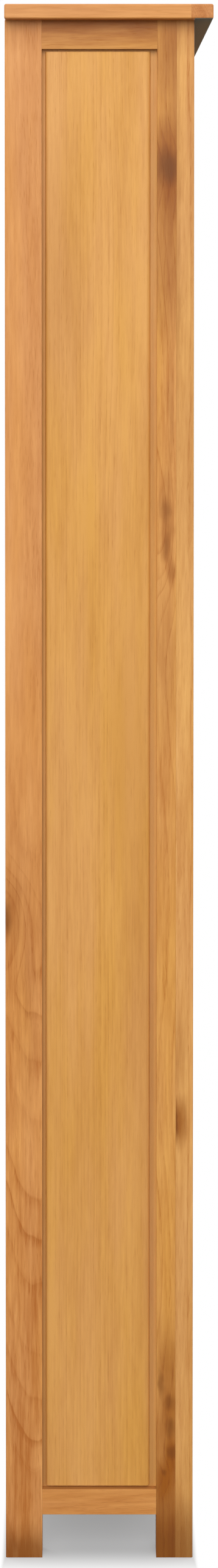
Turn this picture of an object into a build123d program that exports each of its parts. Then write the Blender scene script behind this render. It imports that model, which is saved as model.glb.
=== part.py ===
"""Tall oak pantry cabinet: frame-and-panel sides, a face frame and two inset doors.

Millimetres. X runs across the width, -Y is the front, +Z is up. The origin lies on the
floor, under the middle of the top board.
"""
import os

from build123d import *

# Overall size, over the top board
width = 900.0
depth = 225.0
height = 1700.0

# Top board
top_thickness = 16.0
side_overhang = 15.0
front_overhang = 20.0
top_arris = 2.0

# Side frames and the face frame glued to their front edges
side_thickness = 20.0
face_thickness = 19.0
upright_width = 40.0
face_stile_width = 40.0
top_rail_height = 31.0
bottom_rail_height = 28.0
leg_height = 48.0
arris = 1.5

# Joinery shared by all frames
tenon_length = 16.0
face_tenon_length = 25.0
back_tenon_length = 8.0
tenon_shoulder = 4.0
glue_gap = 1.0
slide_fit = 0.1

# Grooves and the side panels, which stand a little towards the back in their grooves
groove_width = 8.0
groove_depth = 9.0
groove_inset = 7.0
field_recess = 3.0
field_margin = 9.3
bevel_run = 3.8
bevel_crown = 1.0
tongue_depth = 5.5
panel_shift = 1.8
shoulder_gap = 2.6

# Back panel in its rebate, and the rail that takes the wall fixings
back_thickness = 6.0
back_recess = 2.0
rebate_width = 8.0
back_rail_height = 60.0
back_rail_thickness = 20.0
wall_hole_radius = 2.5
wall_hole_spacing = 600.0

# Bottom board, shelves and the cleats under the boards
board_thickness = 16.0
shelf_thickness = 18.0
shelf_setback = 3.5
shelf_end_gap = 1.0
housing_depth = 2.0
compartments = 6
cleat_width = 18.0
cleat_height = 12.0
top_cleat_height = 18.0

# Shelf pins and the short rows of holes they stand in
pin_radius = 2.5
pin_depth = 8.0
pin_reach = 8.0
pin_collar_radius = 3.5
pin_row_pitch = 32.0
pin_row_count = 3
pin_setback = 5.0

# Doors
door_thickness = 19.0
door_setback = 4.0
door_gap = 2.0
door_stile_width = 55.0
door_top_rail = 55.0
door_middle_rail = 55.0
door_bottom_rail = 70.0
middle_rail_level = 700.0
door_arris = 1.0
door_groove_width = 7.0
door_groove_inset = 8.0
door_tenon_length = 35.0

# Hinges: three to a door, five knuckles each
hinge_height = 70.0
hinge_end_distance = 150.0
hinge_count = 3
knuckle_count = 5
knuckle_radius = 3.0
knuckle_gap = 0.2
leaf_thickness = 2.0
leaf_width = 14.0
hinge_pin_radius = 1.5
pin_fit = 0.05
swing_room = 0.4

# Wood screws in the hinges and the top cleats
hinge_screw_radius = 1.6
hinge_screw_head = 3.2
hinge_screw_length = 16.0
hinge_screw_pitch = 23.0
hinge_screw_stagger = 2.0
hinge_screw_line = 8.5
top_screw_radius = 2.0
top_screw_head = 4.0
top_screw_bite = 10.0
top_screw_count = 3
top_screw_margin = 22.0
head_angle = 90.0

# Knobs and their screws
knob_radius = 15.0
knob_base_radius = 8.5
knob_neck_radius = 6.0
knob_projection = 18.0
knob_waist = 7.0
knob_brim = 12.0
knob_level = 960.0
knob_edge_distance = 28.0
knob_bore_depth = 10.0
knob_screw_radius = 2.0
knob_screw_head = 4.0
knob_screw_head_height = 2.5
knob_counterbore = 3.0

# Magnetic catches under the fixed shelf
catch_length = 46.0
catch_body_length = 28.0
catch_depth = 16.0
catch_height = 13.0
catch_corner = 2.0
catch_ear_depth = 11.0
catch_ear_thickness = 2.5
catch_slot_length = 6.5
catch_slot_width = 3.4
catch_edge_distance = 32.0
magnet_gap = 0.3
plate_length = 34.0
plate_height = 11.0
plate_thickness = 1.0

# Places worked out from the sizes above
half_width = width / 2 - side_overhang
front = -depth / 2 + front_overhang
back = depth / 2
face_back = front + face_thickness
side_inner = half_width - side_thickness
opening_half = half_width - face_stile_width
carcass_top = height - top_thickness
rail_under = carcass_top - top_rail_height
rail_over = leg_height + bottom_rail_height
panel_front = front + upright_width
panel_back = back - upright_width
back_face = back - back_recess - back_thickness
rail_front = back_face - back_rail_thickness
groove_end = groove_inset + groove_width
door_front = front + door_setback
door_back = door_front + door_thickness
shelf_front = door_back + shelf_setback
cleat_under = rail_over - board_thickness - cleat_height
door_low = rail_over + door_gap
door_high = rail_under - door_gap
hinge_x = opening_half - door_gap / 2
shelf_space = (carcass_top - rail_over - (compartments - 1) * shelf_thickness) / compartments
shelf_pitch = shelf_space + shelf_thickness
shelf_levels = [rail_over + shelf_space + n * shelf_pitch for n in range(compartments - 1)]
fixed_level = shelf_levels[len(shelf_levels) // 2]
loose_levels = [level for level in shelf_levels if level != fixed_level]
pin_collar = shelf_end_gap - 2 * slide_fit
pin_lines = [shelf_front + pin_setback, (panel_back + back_face) / 2]
hinge_pitch = (door_high - door_low - 2 * hinge_end_distance) / (hinge_count - 1)
hinge_levels = [door_low + hinge_end_distance + n * hinge_pitch for n in range(hinge_count)]
cleat_front = face_back + cleat_width
top_screw_step = (rail_front - face_back - 2 * top_screw_margin) / (top_screw_count - 1)
top_screw_lines = [face_back + top_screw_margin + n * top_screw_step for n in range(top_screw_count)]
sides = {"left": -1, "right": 1}


def span(a, b):
    """The stretch between two places, lower one first."""
    return (min(a, b), max(a, b))


def inward(side, near, far):
    """The stretch of X between two depths measured in from the outer face of a side."""
    return span(side * (half_width - near), side * (half_width - far))


def block(x, y, z, mode=Mode.ADD):
    """Add or cut squared timber that fills three stretches."""
    with Locations(((x[0] + x[1]) / 2, (y[0] + y[1]) / 2, (z[0] + z[1]) / 2)):
        Box(x[1] - x[0], y[1] - y[0], z[1] - z[0], mode=mode)


def cut(x, y, z):
    """Cut a mortise, groove, rebate or housing that fills three stretches."""
    block(x, y, z, Mode.SUBTRACT)


def rod(origin, direction, radius, length, mode=Mode.ADD):
    """Add or cut a round bar that starts at a point and runs along a direction."""
    with Locations(Plane(origin=origin, z_dir=direction)):
        Cylinder(radius, length, align=(Align.CENTER, Align.CENTER, Align.MIN), mode=mode)


def countersunk_screw(origin, direction, radius, head_radius, length):
    """Add a screw whose flat head lies at a point and whose shank runs along a direction."""
    head_height = head_radius - radius
    with Locations(Plane(origin=origin, z_dir=direction)):
        Cone(head_radius, radius, head_height, align=(Align.CENTER, Align.CENTER, Align.MIN))
        Cylinder(radius, length, align=(Align.CENTER, Align.CENTER, Align.MIN))


def finish(piece, name):
    """Label a finished piece and write it under its own name."""
    piece.part.label = name
    export_step(piece.part, f"parts/{name}.step")


def top_board():
    """Edge-glued board with softened arrises, drilled from below for its screws."""
    with BuildPart() as board:
        with BuildSketch(Plane.XY.offset(carcass_top)):
            Rectangle(width, depth)
        extrude(amount=top_thickness)
        fillet(board.edges(), top_arris)
        for side in sides.values():
            for y in top_screw_lines:
                rod((side * (side_inner - cleat_width / 2), y, carcass_top), (0, 0, 1),
                    top_screw_radius + pin_fit, top_screw_bite + glue_gap, Mode.SUBTRACT)
    finish(board, "top_board")


def shelf_pin_holes(side, y):
    """Short rows of blind holes in a stile, one row round each loose shelf."""
    for level in loose_levels:
        for n in range(pin_row_count):
            z = level - pin_radius + (n - (pin_row_count - 1) / 2) * pin_row_pitch
            rod((side * side_inner, y, z), (side, 0, 0),
                pin_radius + pin_fit, pin_depth + glue_gap, Mode.SUBTRACT)


def side_back_stile(name, side):
    """Back upright: grooved for the panel, rebated for the back, mortised for rails."""
    groove = inward(side, groove_inset, groove_end)
    with BuildPart() as stile:
        with BuildSketch(Plane.XY) as section:
            with Locations((side * (half_width - side_thickness / 2), (panel_back + back) / 2)):
                Rectangle(side_thickness, upright_width)
            fillet(section.vertices().sort_by_distance((side * half_width, back))[0], arris)
        extrude(amount=carcass_top)
        cut(groove, (panel_back, panel_back + groove_depth), (rail_over, rail_under))
        cut(inward(side, side_thickness - rebate_width, side_thickness),
            (back_face, back), (leg_height, carcass_top))
        for low, high in ((leg_height, rail_over), (rail_under, carcass_top)):
            cut(groove, (panel_back, panel_back + tenon_length + glue_gap), tenon_rise(low, high))
        cut(inward(side, side_thickness - back_tenon_length - glue_gap, side_thickness),
            back_tenon_depth(), back_tenon_rise())
        cut(inward(side, side_thickness - housing_depth, side_thickness), (panel_back, back_face),
            (fixed_level, fixed_level + shelf_thickness))
        shelf_pin_holes(side, pin_lines[1])
    finish(stile, f"{name}_side_back_stile")


def side_front_stile(name, side):
    """Front upright of the side: grooved for the panel, its front edge glued to the face frame."""
    groove = inward(side, groove_inset, groove_end)
    with BuildPart() as stile:
        with BuildSketch(Plane.XY):
            with Locations((side * (half_width - side_thickness / 2), (face_back + panel_front) / 2)):
                Rectangle(side_thickness, panel_front - face_back)
        extrude(amount=carcass_top)
        cut(groove, (panel_front - groove_depth, panel_front), (rail_over, rail_under))
        for low, high in ((leg_height, rail_over), (rail_under, carcass_top)):
            cut(groove, (panel_front - tenon_length - glue_gap, panel_front), tenon_rise(low, high))
        cut(inward(side, side_thickness - housing_depth, side_thickness), (shelf_front, panel_front),
            (fixed_level, fixed_level + shelf_thickness))
        shelf_pin_holes(side, pin_lines[0])
    finish(stile, f"{name}_side_front_stile")


def tenon_rise(low, high):
    """Height of a rail's tenon: it keeps a shoulder at the edge away from the panel."""
    if low == leg_height:
        return (low + tenon_shoulder, high)
    return (low, high - tenon_shoulder)


def side_rail(name, side, low, high):
    """Rail between the uprights of a side, grooved on the edge that meets the panel."""
    thick = inward(side, 0, side_thickness)
    groove = inward(side, groove_inset, groove_end)
    grooved = (high - groove_depth, high) if low == leg_height else (low, low + groove_depth)
    with BuildPart() as rail:
        block(thick, (panel_front, panel_back), (low, high))
        block(inward(side, groove_inset + slide_fit, groove_end - slide_fit),
              (panel_front - tenon_length, panel_back + tenon_length), tenon_rise(low, high))
        cut(groove, (panel_front - tenon_length, panel_back + tenon_length), grooved)
    finish(rail, name)


def fielded_panel(name, plane, opening, face_depth, tongue, length, shift=0.0):
    """Panel with a raised field: rounded drops along its long edges, square shoulders at its ends.

    The plane lies at the middle of the panel's lower tongue edge, its x across the panel
    and its y from the frame's face into the frame. tongue holds the near and far depth.
    """
    half_tongue = opening / 2 + tongue_depth
    half_field = opening / 2 - field_margin
    half_foot = half_field + bevel_run
    near, far = tongue[0] + slide_fit, tongue[1] - slide_fit
    with BuildPart() as panel:
        with BuildSketch(plane) as section:
            with BuildLine(Location((shift, 0))):
                Polyline((-half_foot, near), (-half_tongue, near), (-half_tongue, far),
                         (half_tongue, far), (half_tongue, near), (half_foot, near))
                SagittaArc((half_foot, near), (half_field, face_depth), bevel_crown)
                Line((half_field, face_depth), (-half_field, face_depth))
                SagittaArc((-half_field, face_depth), (-half_foot, near), bevel_crown)
            make_face()
        extrude(amount=length)
        end_cut = tongue_depth + shoulder_gap
        with Locations(plane):
            with Locations((shift, (face_depth + near) / 2, end_cut / 2),
                           (shift, (face_depth + near) / 2, length - end_cut / 2)):
                Box(2 * half_tongue, near - face_depth, end_cut, mode=Mode.SUBTRACT)
    finish(panel, name)


def side_panel(name, side):
    """Long fielded panel of a side, free to move in its grooves."""
    x_across = (0, side, 0)
    plane = Plane(origin=(side * half_width, (panel_front + panel_back) / 2, rail_over - tongue_depth),
                  x_dir=x_across, z_dir=(0, 0, 1))
    length = rail_under - rail_over + 2 * tongue_depth
    fielded_panel(f"{name}_side_panel", plane, panel_back - panel_front, field_recess,
                  (groove_inset, groove_end), length, side * panel_shift)


def face_stile(name, side):
    """Front upright: full height to the floor, mortised for the face rails and the hinges."""
    edge = side * opening_half
    with BuildPart() as stile:
        with BuildSketch(Plane.XY) as section:
            with Locations((side * (half_width - face_stile_width / 2), (front + face_back) / 2)):
                Rectangle(face_stile_width, face_thickness)
            fillet(section.vertices().sort_by_distance((side * half_width, front))[0], arris)
        extrude(amount=carcass_top)
        for low, high in ((leg_height, rail_over), (rail_under, carcass_top)):
            cut(span(edge, edge + side * (face_tenon_length + glue_gap)),
                face_tenon_depth(), tenon_rise(low, high))
        for level in hinge_levels:
            hinge_recess(edge, side, front, level)
    finish(stile, f"face_{name}_stile")


def face_tenon_depth():
    """Stretch of Y that the face rails' tenons fill."""
    third = face_thickness / 3
    return (front + third, face_back - third)


def face_rail(name, low, high):
    """Rail of the face frame with a tenon at each end."""
    tenon = face_tenon_depth()
    reach = opening_half + face_tenon_length
    with BuildPart() as rail:
        block((-opening_half, opening_half), (front, face_back), (low, high))
        block((-reach, reach), (tenon[0] + slide_fit, tenon[1] - slide_fit), tenon_rise(low, high))
    finish(rail, name)


def back_tenon_depth():
    """Stretch of Y that the back rail's tenons fill."""
    quarter = back_rail_thickness / 4
    return (rail_front + quarter, back_face - quarter)


def back_tenon_rise():
    """Height of the back rail's tenons."""
    return (carcass_top - back_rail_height + tenon_shoulder, carcass_top - tenon_shoulder)


def wall_holes(y_from, length):
    """Cut the two holes for the wall fixings."""
    for x in (-wall_hole_spacing / 2, wall_hole_spacing / 2):
        rod((x, y_from, carcass_top - back_rail_height / 2), (0, 1, 0),
            wall_hole_radius, length, Mode.SUBTRACT)


def back_rail():
    """Rail under the top board at the back, drilled for the wall fixings."""
    tenon = back_tenon_depth()
    reach = side_inner + back_tenon_length
    with BuildPart() as rail:
        block((-side_inner, side_inner), (rail_front, back_face),
              (carcass_top - back_rail_height, carcass_top))
        block((-reach, reach), (tenon[0] + slide_fit, tenon[1] - slide_fit), back_tenon_rise())
        wall_holes(rail_front, back_rail_thickness)
    finish(rail, "back_top_rail")


def back_panel():
    """Thin panel that fills the rebates of the back, drilled for the wall fixings."""
    half_span = side_inner + rebate_width - slide_fit
    with BuildPart() as panel:
        block((-half_span, half_span), (back_face, back_face + back_thickness), (leg_height, carcass_top))
        wall_holes(back_face, back_thickness)
    finish(panel, "back_panel")


def bottom_board():
    """Board flush with the top of the face frame's bottom rail."""
    with BuildPart() as board:
        block((-side_inner, side_inner), (face_back, back_face), (rail_over - board_thickness, rail_over))
    finish(board, "bottom_board")


def floor_cleats():
    """Four cleats that carry the bottom board, one along each side of the carcass."""
    rise = (cleat_under, cleat_under + cleat_height)
    with BuildPart() as cleats:
        for side in sides.values():
            block(span(side * side_inner, side * (side_inner - cleat_width)),
                  (cleat_front + glue_gap, rail_front - glue_gap), rise)
        block((-side_inner, side_inner), (face_back, cleat_front), rise)
        block((-side_inner, side_inner), (rail_front, back_face), rise)
    finish(cleats, "floor_cleats")


def top_cleats():
    """Two cleats along the sides that take the screws of the top board."""
    rise = (carcass_top - top_cleat_height, carcass_top)
    with BuildPart() as cleats:
        for side in sides.values():
            block(span(side * side_inner, side * (side_inner - cleat_width)), (face_back, rail_front), rise)
            for y in top_screw_lines:
                under = (side * (side_inner - cleat_width / 2), y, rise[0])
                with Locations(Plane(origin=under, z_dir=(0, 0, -1))):
                    CounterSinkHole(top_screw_radius + pin_fit, top_screw_head + pin_fit,
                                    top_cleat_height, head_angle)
    finish(cleats, "top_cleats")


def top_screws():
    """Screws up through the top cleats into the top board."""
    with BuildPart() as screws:
        for side in sides.values():
            for y in top_screw_lines:
                under = (side * (side_inner - cleat_width / 2), y, carcass_top - top_cleat_height)
                countersunk_screw(under, (0, 0, 1), top_screw_radius, top_screw_head,
                                  top_cleat_height + top_screw_bite)
    finish(screws, "top_screws")


def fixed_shelf():
    """Middle shelf, let into the stiles with a tongue at each corner."""
    rise = (fixed_level, fixed_level + shelf_thickness)
    reach = side_inner + housing_depth
    with BuildPart() as shelf:
        block((-side_inner, side_inner), (shelf_front, back_face), rise)
        block((-reach, reach), (shelf_front, panel_front), rise)
        block((-reach, reach), (panel_back, back_face), rise)
    finish(shelf, "fixed_shelf")


def loose_shelf(number, level):
    """Shelf that lies on four pins, its front arrises softened."""
    half_span = side_inner - shelf_end_gap
    with BuildPart() as shelf:
        block((-half_span, half_span), (shelf_front, back_face - shelf_end_gap),
              (level, level + shelf_thickness))
        fillet(shelf.edges().filter_by(Axis.X).group_by(Axis.Y)[0], arris)
    finish(shelf, f"loose_shelf_{number}")


def shelf_pins():
    """Four collared pins under each loose shelf."""
    with BuildPart() as pins:
        for side in sides.values():
            for y in pin_lines:
                for level in loose_levels:
                    z = level - pin_radius
                    rod((side * (side_inner + pin_depth), y, z), (-side, 0, 0),
                        pin_radius, pin_depth + pin_reach)
                    rod((side * side_inner, y, z), (-side, 0, 0), pin_collar_radius, pin_collar)
    finish(pins, "shelf_pins")


def hinge_recess(edge, side, face, level):
    """Cut the shallow recess for a leaf in an edge, deeper where the knuckles turn.

    side points from the edge into the wood and face is the front of the piece.
    """
    rise = (level - hinge_height / 2, level + hinge_height / 2)
    seat = door_front + knuckle_radius + swing_room
    cut(span(edge, edge + side * leaf_thickness), (seat, door_front + leaf_width), rise)
    cut(span(edge, edge + side * (leaf_thickness + swing_room)), (face, seat), rise)
    for z, stagger in hinge_screws(level):
        rod((edge, door_front + hinge_screw_line + stagger, z), (side, 0, 0),
            hinge_screw_radius + pin_fit, hinge_screw_length + glue_gap, Mode.SUBTRACT)


def hinge_screws(level):
    """Height and sideways stagger of the three screws of a leaf."""
    return [(level + n * hinge_screw_pitch, hinge_screw_stagger * (1 - 2 * abs(n))) for n in (-1, 0, 1)]


def hinge_leaves(name, side, into, first):
    """Leaves of one door's hinges: plates with every second knuckle, drilled and countersunk.

    into points from the axis into the wood that carries the leaf. first is the number of
    the lowest knuckle that belongs to the leaf.
    """
    axis_x = side * hinge_x
    plate = span(axis_x + into * door_gap / 2, axis_x + into * (door_gap / 2 + leaf_thickness))
    knuckle_height = hinge_height / knuckle_count
    seat = door_front + knuckle_radius + swing_room
    with BuildPart() as leaves:
        for level in hinge_levels:
            low = level - hinge_height / 2
            block(plate, (seat, door_front + leaf_width), (low, low + hinge_height))
            for n in range(first, knuckle_count, 2):
                rise = (low + n * knuckle_height + knuckle_gap * (n > 0),
                        low + (n + 1) * knuckle_height - knuckle_gap * (n < knuckle_count - 1))
                block(plate, (door_front, seat), rise)
                rod((axis_x, door_front, rise[0]), (0, 0, 1), knuckle_radius, rise[1] - rise[0])
            rod((axis_x, door_front, low), (0, 0, 1),
                hinge_pin_radius + pin_fit, hinge_height, Mode.SUBTRACT)
            for z, stagger in hinge_screws(level):
                place = (axis_x + into * door_gap / 2, door_front + hinge_screw_line + stagger, z)
                with Locations(Plane(origin=place, z_dir=(-into, 0, 0))):
                    CounterSinkHole(hinge_screw_radius + pin_fit, hinge_screw_head + pin_fit,
                                    leaf_thickness, head_angle)
    finish(leaves, name)


def hinge_pins(name, side):
    """Pins of one door's hinges, flush with the ends of the knuckles."""
    with BuildPart() as pins:
        for level in hinge_levels:
            rod((side * hinge_x, door_front, level - hinge_height / 2), (0, 0, 1),
                hinge_pin_radius, hinge_height)
    finish(pins, name)


def leaf_screws(name, places):
    """Screws of hinge leaves. Each place is the door's side and the way into the wood."""
    with BuildPart() as screws:
        for side, into in places:
            for level in hinge_levels:
                for z, stagger in hinge_screws(level):
                    x = side * hinge_x + into * door_gap / 2
                    place = (x, door_front + hinge_screw_line + stagger, z)
                    countersunk_screw(place, (into, 0, 0),
                                      hinge_screw_radius, hinge_screw_head, hinge_screw_length)
    finish(screws, name)


def door_groove():
    """Stretch of Y that the grooves and tenons of a door fill."""
    return (door_front + door_groove_inset, door_front + door_groove_inset + door_groove_width)


def door_stile(name, side, hung):
    """Upright of a door, grooved on its inner edge. The hung one is recessed for the hinges."""
    outer = side * (hinge_x - door_gap / 2) if hung else side * door_gap / 2
    into = -side if hung else side
    inner = outer + into * door_stile_width
    groove = door_groove()
    rises = door_rail_rises()
    with BuildPart() as stile:
        with BuildSketch(Plane.XY.offset(door_low)) as section:
            with Locations(((outer + inner) / 2, (door_front + door_back) / 2)):
                Rectangle(door_stile_width, door_thickness)
            fillet(section.vertices().sort_by_distance((outer, door_front))[0], door_arris)
        extrude(amount=door_high - door_low)
        cut(span(inner, inner - into * groove_depth), groove, (rises["bottom"][1], rises["top"][0]))
        for rail in rises:
            cut(span(inner, inner - into * (door_tenon_length + glue_gap)), groove, door_tenon_rise(rail))
        if hung:
            for level in hinge_levels:
                hinge_recess(outer, into, door_front, level)
        else:
            knob_seat(side)
    finish(stile, name)


def knob_seat(side):
    """Drill the meeting stile for the knob's screw, its head sunk in the back."""
    x = side * (door_gap / 2 + knob_edge_distance)
    with Locations(Plane(origin=(x, door_back, knob_level), z_dir=(0, 1, 0))):
        CounterBoreHole(knob_screw_radius + pin_fit, knob_screw_head + slide_fit,
                        knob_counterbore, door_thickness)


def door_rail_rises():
    """Height of each rail of a door."""
    return {"bottom": (door_low, door_low + door_bottom_rail),
            "middle": (middle_rail_level, middle_rail_level + door_middle_rail),
            "top": (door_high - door_top_rail, door_high)}


def door_tenon_rise(rail):
    """Height of a door rail's tenon, with a shoulder at each outer edge."""
    low, high = door_rail_rises()[rail]
    if rail == "middle":
        return (low, high)
    return (low + tenon_shoulder, high) if rail == "bottom" else (low, high - tenon_shoulder)


def door_rail(name, side, rail):
    """Rail of a door with a tenon at each end, grooved on the edges that meet a panel."""
    low, high = door_rail_rises()[rail]
    groove = door_groove()
    near = door_gap / 2 + door_stile_width
    far = hinge_x - door_gap / 2 - door_stile_width
    reach = span(side * (near - door_tenon_length), side * (far + door_tenon_length))
    with BuildPart() as piece:
        block(span(side * near, side * far), (door_front, door_back), (low, high))
        block(reach, (groove[0] + slide_fit, groove[1] - slide_fit), door_tenon_rise(rail))
        if rail != "top":
            cut(reach, groove, (high - groove_depth, high))
        if rail != "bottom":
            cut(reach, groove, (low, low + groove_depth))
    finish(piece, name)


def door_panel(name, side, below, above):
    """Fielded panel of a door between two rails."""
    rises = door_rail_rises()
    low, high = rises[below][1], rises[above][0]
    near = door_gap / 2 + door_stile_width
    far = hinge_x - door_gap / 2 - door_stile_width
    plane = Plane(origin=(side * (near + far) / 2, door_front, low - tongue_depth),
                  x_dir=(1, 0, 0), z_dir=(0, 0, 1))
    tongue = (door_groove_inset, door_groove_inset + door_groove_width)
    fielded_panel(name, plane, far - near, field_recess, tongue, high - low + 2 * tongue_depth)


def knob(name, side):
    """Turned knob: a flared foot, a waist and a domed head, bored for its screw."""
    centre = (side * (door_gap / 2 + knob_edge_distance), door_front, knob_level)
    with BuildPart() as turned:
        with BuildSketch(Plane(origin=centre, x_dir=(1, 0, 0), z_dir=(0, 0, 1))):
            with BuildLine():
                Polyline((0, -knob_projection), (0, 0), (knob_base_radius, 0))
                Spline((knob_base_radius, 0), (knob_neck_radius, -knob_waist), (knob_radius, -knob_brim),
                       tangents=((-1, -1), (0, -1)))
                Bezier((knob_radius, -knob_brim), (knob_radius, -knob_projection), (0, -knob_projection))
            make_face()
        revolve(axis=Axis(centre, (0, 1, 0)))
        rod(centre, (0, -1, 0), knob_screw_radius + pin_fit, knob_bore_depth + glue_gap, Mode.SUBTRACT)
    finish(turned, name)


def knob_screw(name, side):
    """Machine screw through the door into the knob."""
    x = side * (door_gap / 2 + knob_edge_distance)
    seat = door_back - knob_counterbore
    with BuildPart() as screw:
        rod((x, seat, knob_level), (0, 1, 0), knob_screw_head, knob_screw_head_height)
        rod((x, seat, knob_level), (0, -1, 0), knob_screw_radius, seat - door_front + knob_bore_depth)
    finish(screw, name)


def strike_plate(name, side):
    """Steel plate on the back of a door, where the magnet meets it."""
    x = side * (door_gap / 2 + catch_edge_distance)
    z = fixed_level - catch_height / 2
    with BuildPart() as plate:
        block((x - plate_length / 2, x + plate_length / 2), (door_back, door_back + plate_thickness),
              (z - plate_height / 2, z + plate_height / 2))
        fillet(plate.edges().filter_by(Axis.Y), catch_corner)
    finish(plate, name)


def catch(name, side):
    """Housing of a magnetic catch under the fixed shelf, with a slotted ear at each end."""
    x = side * (door_gap / 2 + catch_edge_distance)
    face = door_back + plate_thickness + magnet_gap
    ear_line = face + catch_depth - catch_ear_depth / 2
    ear_reach = (catch_length + catch_body_length) / 4
    with BuildPart() as housing:
        with BuildSketch(Plane.XY.offset(fixed_level - catch_height)):
            with Locations((x, face + catch_depth / 2)):
                RectangleRounded(catch_body_length, catch_depth, catch_corner)
        extrude(amount=catch_height)
        with BuildSketch(Plane.XY.offset(fixed_level - catch_ear_thickness)):
            with Locations((x, ear_line)):
                RectangleRounded(catch_length, catch_ear_depth, catch_corner)
            with Locations((x - ear_reach, ear_line), (x + ear_reach, ear_line)):
                SlotOverall(catch_slot_length, catch_slot_width, rotation=90, mode=Mode.SUBTRACT)
        extrude(amount=catch_ear_thickness)
    finish(housing, name)


def door(name, side):
    """All pieces of one door and of the hinges that carry it."""
    door_stile(f"{name}_door_hinge_stile", side, True)
    door_stile(f"{name}_door_meeting_stile", side, False)
    for rail in door_rail_rises():
        door_rail(f"{name}_door_{rail}_rail", side, rail)
    door_panel(f"{name}_door_lower_panel", side, "bottom", "middle")
    door_panel(f"{name}_door_upper_panel", side, "middle", "top")
    knob(f"{name}_knob", side)
    knob_screw(f"{name}_knob_screw", side)
    strike_plate(f"{name}_strike_plate", side)
    catch(f"{name}_catch", side)
    hinge_leaves(f"{name}_hinge_frame_leaves", side, side, 0)
    hinge_leaves(f"{name}_hinge_door_leaves", side, -side, 1)
    hinge_pins(f"{name}_hinge_pins", side)
    leaf_screws(f"{name}_door_leaf_screws", [(side, -side)])


os.makedirs("parts", exist_ok=True)
top_board()
for side_name, side_sign in sides.items():
    side_back_stile(side_name, side_sign)
    side_front_stile(side_name, side_sign)
    side_rail(f"{side_name}_side_bottom_rail", side_sign, leg_height, rail_over)
    side_rail(f"{side_name}_side_top_rail", side_sign, rail_under, carcass_top)
    side_panel(side_name, side_sign)
    face_stile(side_name, side_sign)
    door(side_name, side_sign)
face_rail("face_bottom_rail", leg_height, rail_over)
face_rail("face_top_rail", rail_under, carcass_top)
back_rail()
back_panel()
bottom_board()
floor_cleats()
top_cleats()
top_screws()
fixed_shelf()
for shelf_number, shelf_level in enumerate(loose_levels, 1):
    loose_shelf(shelf_number, shelf_level)
shelf_pins()
leaf_screws("frame_leaf_screws", [(side_sign, side_sign) for side_sign in sides.values()])
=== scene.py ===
"""Tall oak pantry cabinet: lacquered oak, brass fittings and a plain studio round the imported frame."""

import math

import bmesh
import bpy
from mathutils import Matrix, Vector


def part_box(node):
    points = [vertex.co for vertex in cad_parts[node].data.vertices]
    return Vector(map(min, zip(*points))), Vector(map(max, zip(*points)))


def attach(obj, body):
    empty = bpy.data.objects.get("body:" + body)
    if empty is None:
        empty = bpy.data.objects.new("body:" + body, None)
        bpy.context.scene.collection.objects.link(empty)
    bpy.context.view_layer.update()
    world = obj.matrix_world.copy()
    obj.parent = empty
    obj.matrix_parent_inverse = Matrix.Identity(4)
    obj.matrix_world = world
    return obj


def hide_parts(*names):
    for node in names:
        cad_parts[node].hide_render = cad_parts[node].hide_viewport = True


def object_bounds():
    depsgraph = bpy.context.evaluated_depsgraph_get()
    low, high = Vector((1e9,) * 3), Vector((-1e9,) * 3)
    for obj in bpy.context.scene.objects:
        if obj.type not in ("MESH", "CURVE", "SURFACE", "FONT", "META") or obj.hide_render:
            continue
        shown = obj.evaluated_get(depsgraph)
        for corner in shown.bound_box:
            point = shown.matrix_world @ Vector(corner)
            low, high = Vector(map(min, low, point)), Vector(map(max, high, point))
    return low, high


bl_info = {
    "name": "Oak pantry cabinet",
    "version": (1, 0, 0),
    "blender": (4, 5, 0),
    "location": "3D View > Sidebar > Cabinet",
    "description": "Finishes, small fasteners and studio of a tall oak pantry cabinet",
    "category": "Object",
}

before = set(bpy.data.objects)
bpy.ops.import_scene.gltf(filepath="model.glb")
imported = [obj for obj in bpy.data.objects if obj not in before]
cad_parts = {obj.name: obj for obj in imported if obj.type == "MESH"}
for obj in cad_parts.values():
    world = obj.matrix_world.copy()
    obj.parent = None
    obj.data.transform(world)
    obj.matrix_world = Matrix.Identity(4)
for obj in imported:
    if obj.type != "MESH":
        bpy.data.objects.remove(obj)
CAD_LOW, CAD_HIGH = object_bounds()

MM = 0.001
AXES = ("X", "Y", "Z")
NODE_PREFIXES = ("ShaderNode", "GeometryNode", "FunctionNode", "Node")
SIDES = {"left": -1, "right": 1}

# The photograph's frame, and where the camera's axis meets it
IMAGE_WIDTH = 358
IMAGE_HEIGHT = 2576
AXIS_PIXEL_X = 139.2
AXIS_PIXEL_Y = 563.3

SIDE_LOW, SIDE_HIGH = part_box("left_side_back_stile")
FACE_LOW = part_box("face_left_stile")[0]

# The oak's figure: how long a bend of the log, a ripple of its fibres and a bite in the outline of
# a knot are across the grain and along it, and how far each of them reaches
BEND = (166.7 * MM, 769.2 * MM)
RIPPLE = (14.29 * MM, 111.1 * MM)
RIPPLE_REACH = (1.2 * MM, 1.2 * MM, 0.0)
BITE = (18.18 * MM, 45.45 * MM)
BITE_REACH = (12 * MM, 12 * MM, 25 * MM)

# Staves: their widths, how far apart in their logs two can lie, and how much lighter one can be
BOARD_STAVE = 85 * MM
PANEL_STAVE = 95 * MM
BACK_STAVE = 120 * MM
STAVE_REACH = (0.05, 0.02, 9.0)
STAVE_TONE = 0.14

# Blush lies elsewhere than the patches of tone, in larger patches
BLUSH_PLACE = (0.1752, 0.0744, 1.311)
BLUSH_SIZE = 1.25

# Flame: the height over which it sets in, where its rings start and stop darkening, and how far
FLAME_BLEND = 0.15
FLAME_FADE = (0.1, -0.2)
FLAME_CONTRAST = 1.9

# A panel's margin, darkened with painted shade: its depth below the field, the depth of the panel's
# back, the shade's strength at two heights, and how wide the strip of painted light beside the front
# stile is
MARGIN_DEPTH = (3.2 * MM, 4.0 * MM)
BACK_DEPTH = (9.0 * MM, 11.0 * MM)
MARGIN_STRENGTH = (0.45, 0.33)
MARGIN_HEIGHT = (0.3, 1.5)
LIT_STRIP_WIDTH = 3.5 * MM

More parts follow.
